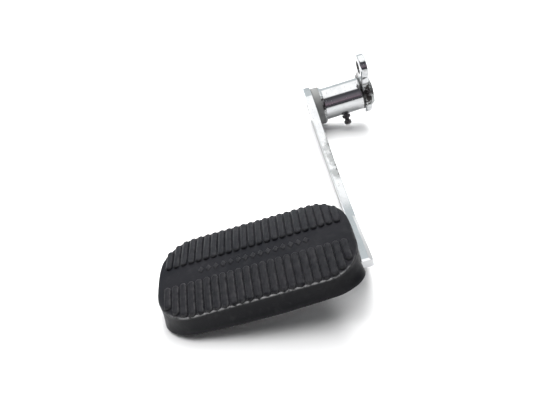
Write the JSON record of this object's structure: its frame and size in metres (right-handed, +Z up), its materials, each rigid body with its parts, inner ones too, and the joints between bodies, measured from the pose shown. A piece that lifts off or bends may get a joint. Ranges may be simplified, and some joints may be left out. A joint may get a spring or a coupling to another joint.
{
  "type": "motorcycle rear brake pedal",
  "caption": "Foot-brake pedal: ribbed rubber pad on a chromed arm with a welded pivot hub, grease fitting and push-rod lever.",
  "frame": {"origin": "centre of the footprint box, on the surface that the pedal lies on", "axes": "the pedal lies free on a flat surface: +Z is up, +Y runs from the pad back to the pivot, +X is the level direction from the pad's free end towards the frame side; the pivot bore climbs 15 degrees from +X towards +Z"},
  "size_m": [0.184, 0.2412, 0.0709],
  "materials": {
    "pad_rubber": "moulded charcoal rubber, scuffed and slightly damp",
    "seal_rubber": "plain black seal rubber",
    "chrome": "bright plating with light pitting and haze",
    "bare_steel": "plain steel with a thin grey coat",
    "dark_steel": "blackened steel, greasy",
    "bronze": "sintered bronze, oiled"
  },
  "bodies": {
    "pedal": {"rubber_pad": "pad_rubber", "pad_plate": "bare_steel", "pad_bracket": "bare_steel", "pedal_arm": "chrome", "hub_plate": "bare_steel", "pivot_tube": "chrome", "outer_dust_seal": "seal_rubber", "inner_dust_seal": "seal_rubber", "outer_bush": "bronze", "inner_bush": "bronze", "pushrod_lever": "chrome", "hub_weld": "chrome", "lever_weld": "chrome", "plate_weld_rear": "bare_steel", "plate_weld_front": "bare_steel", "arm_weld_lower": "bare_steel", "arm_weld_rear": "bare_steel", "grease_fitting": "dark_steel", "check_spring": "bare_steel"},
    "check_ball": {"check_ball": "bare_steel"}
  },
  "joints": [
    {"name": "check_ball_slide", "type": "slide", "parent": "pedal", "child": "check_ball", "axis": [-0.2122, 0.5736, 0.7912], "range_m": [0, 0.0008], "stiffness_N_per_m": 300, "springref_m": -0.001, "deforming": ["check_spring"]}
  ]
}
